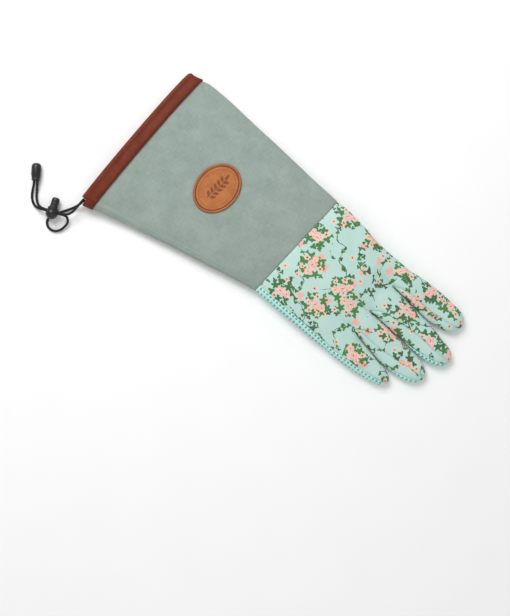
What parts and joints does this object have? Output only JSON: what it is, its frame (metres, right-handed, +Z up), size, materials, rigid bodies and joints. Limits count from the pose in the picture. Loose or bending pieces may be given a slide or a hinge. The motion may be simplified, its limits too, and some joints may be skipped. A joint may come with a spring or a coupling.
{
  "type": "rose pruning gauntlet",
  "caption": "Long-cuffed pruning glove: floral back, dotted palm, canvas cuff bound in leather, with a drawcord, cord lock and oval patch.",
  "frame": {"origin": "centre of the glove's own box at the height of what it lies on, without the free cords", "axes": "+X from the cuff's mouth to the fingertips, +Y to the index-finger side, +Z up from the palm to the back of the hand"},
  "size_m": [0.4421, 0.2226, 0.0222],
  "materials": {
    "canvas": "plain-woven sage canvas, matte",
    "binding_leather": "smooth brown leather, satin",
    "patch_leather": "tan leather with a pressed oval line",
    "floral_cotton": "printed cotton, small roses on mint",
    "dotted_grip": "aqua knit with small raised teal grip dots",
    "elastic_cord": "braided black elastic",
    "lock_plastic": "moulded black plastic, satin"
  },
  "bodies": {
    "glove": {"cuff": "canvas", "cuff_binding": "binding_leather", "leather_patch": "patch_leather", "hand_back": "floral_cotton", "hand_palm": "dotted_grip", "fourchette_index_middle": "floral_cotton", "fourchette_middle_ring": "floral_cotton", "fourchette_ring_little": "floral_cotton", "thumb_front": "dotted_grip", "thumb_back": "floral_cotton", "drawcord_in_casing": "elastic_cord", "drawcord_short": "elastic_cord", "drawcord_long": "elastic_cord", "cord_lock_body": "lock_plastic", "cord_end": "lock_plastic"},
    "plunger": {"cord_lock_plunger": "lock_plastic"}
  },
  "joints": [
    {"name": "lock_press", "type": "slide", "parent": "glove", "child": "plunger", "axis": [0.446, -0.8568, 0.2588], "range_m": [0, 0.003], "stiffness_N_per_m": 300, "springref_m": -0.002}
  ]
}
